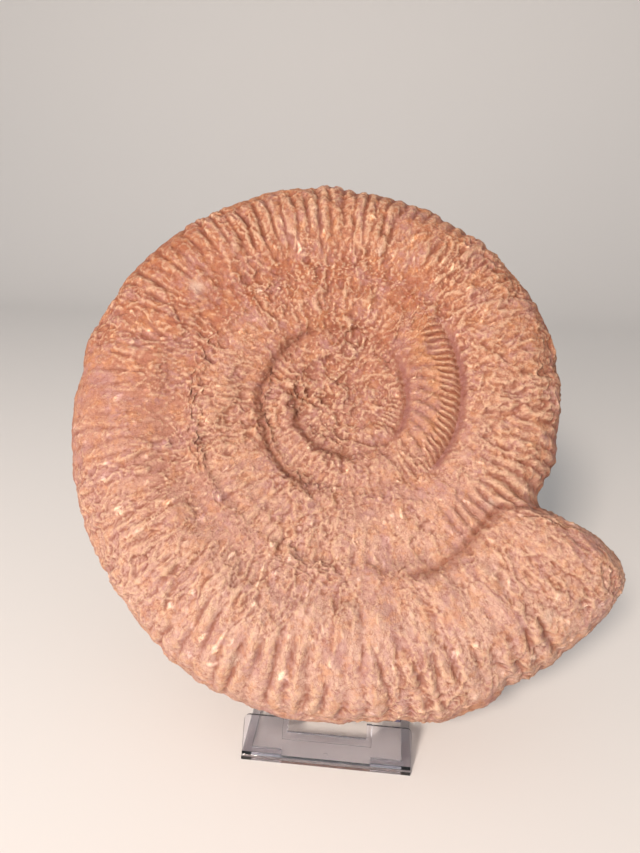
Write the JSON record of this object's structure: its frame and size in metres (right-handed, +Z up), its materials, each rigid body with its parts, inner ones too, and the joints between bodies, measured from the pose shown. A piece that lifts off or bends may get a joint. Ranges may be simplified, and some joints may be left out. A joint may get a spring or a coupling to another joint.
{
  "type": "fossil ammonite",
  "caption": "Large ribbed fossil ammonite shell leaning back in a clear moulded display stand.",
  "frame": {"origin": "middle of the stand's footprint, on the surface that it stands on", "axes": "+Z up, the fossil's show side faces -Y, the coil's mouth is towards +X"},
  "size_m": [0.3554, 0.2061, 0.325],
  "materials": {
    "fossil_stone": "rough crusted stone",
    "clear_plastic": "clear moulded plastic"
  },
  "bodies": {
    "root": {"ammonite": "fossil_stone", "display_stand": "clear_plastic"}
  },
  "joints": []
}
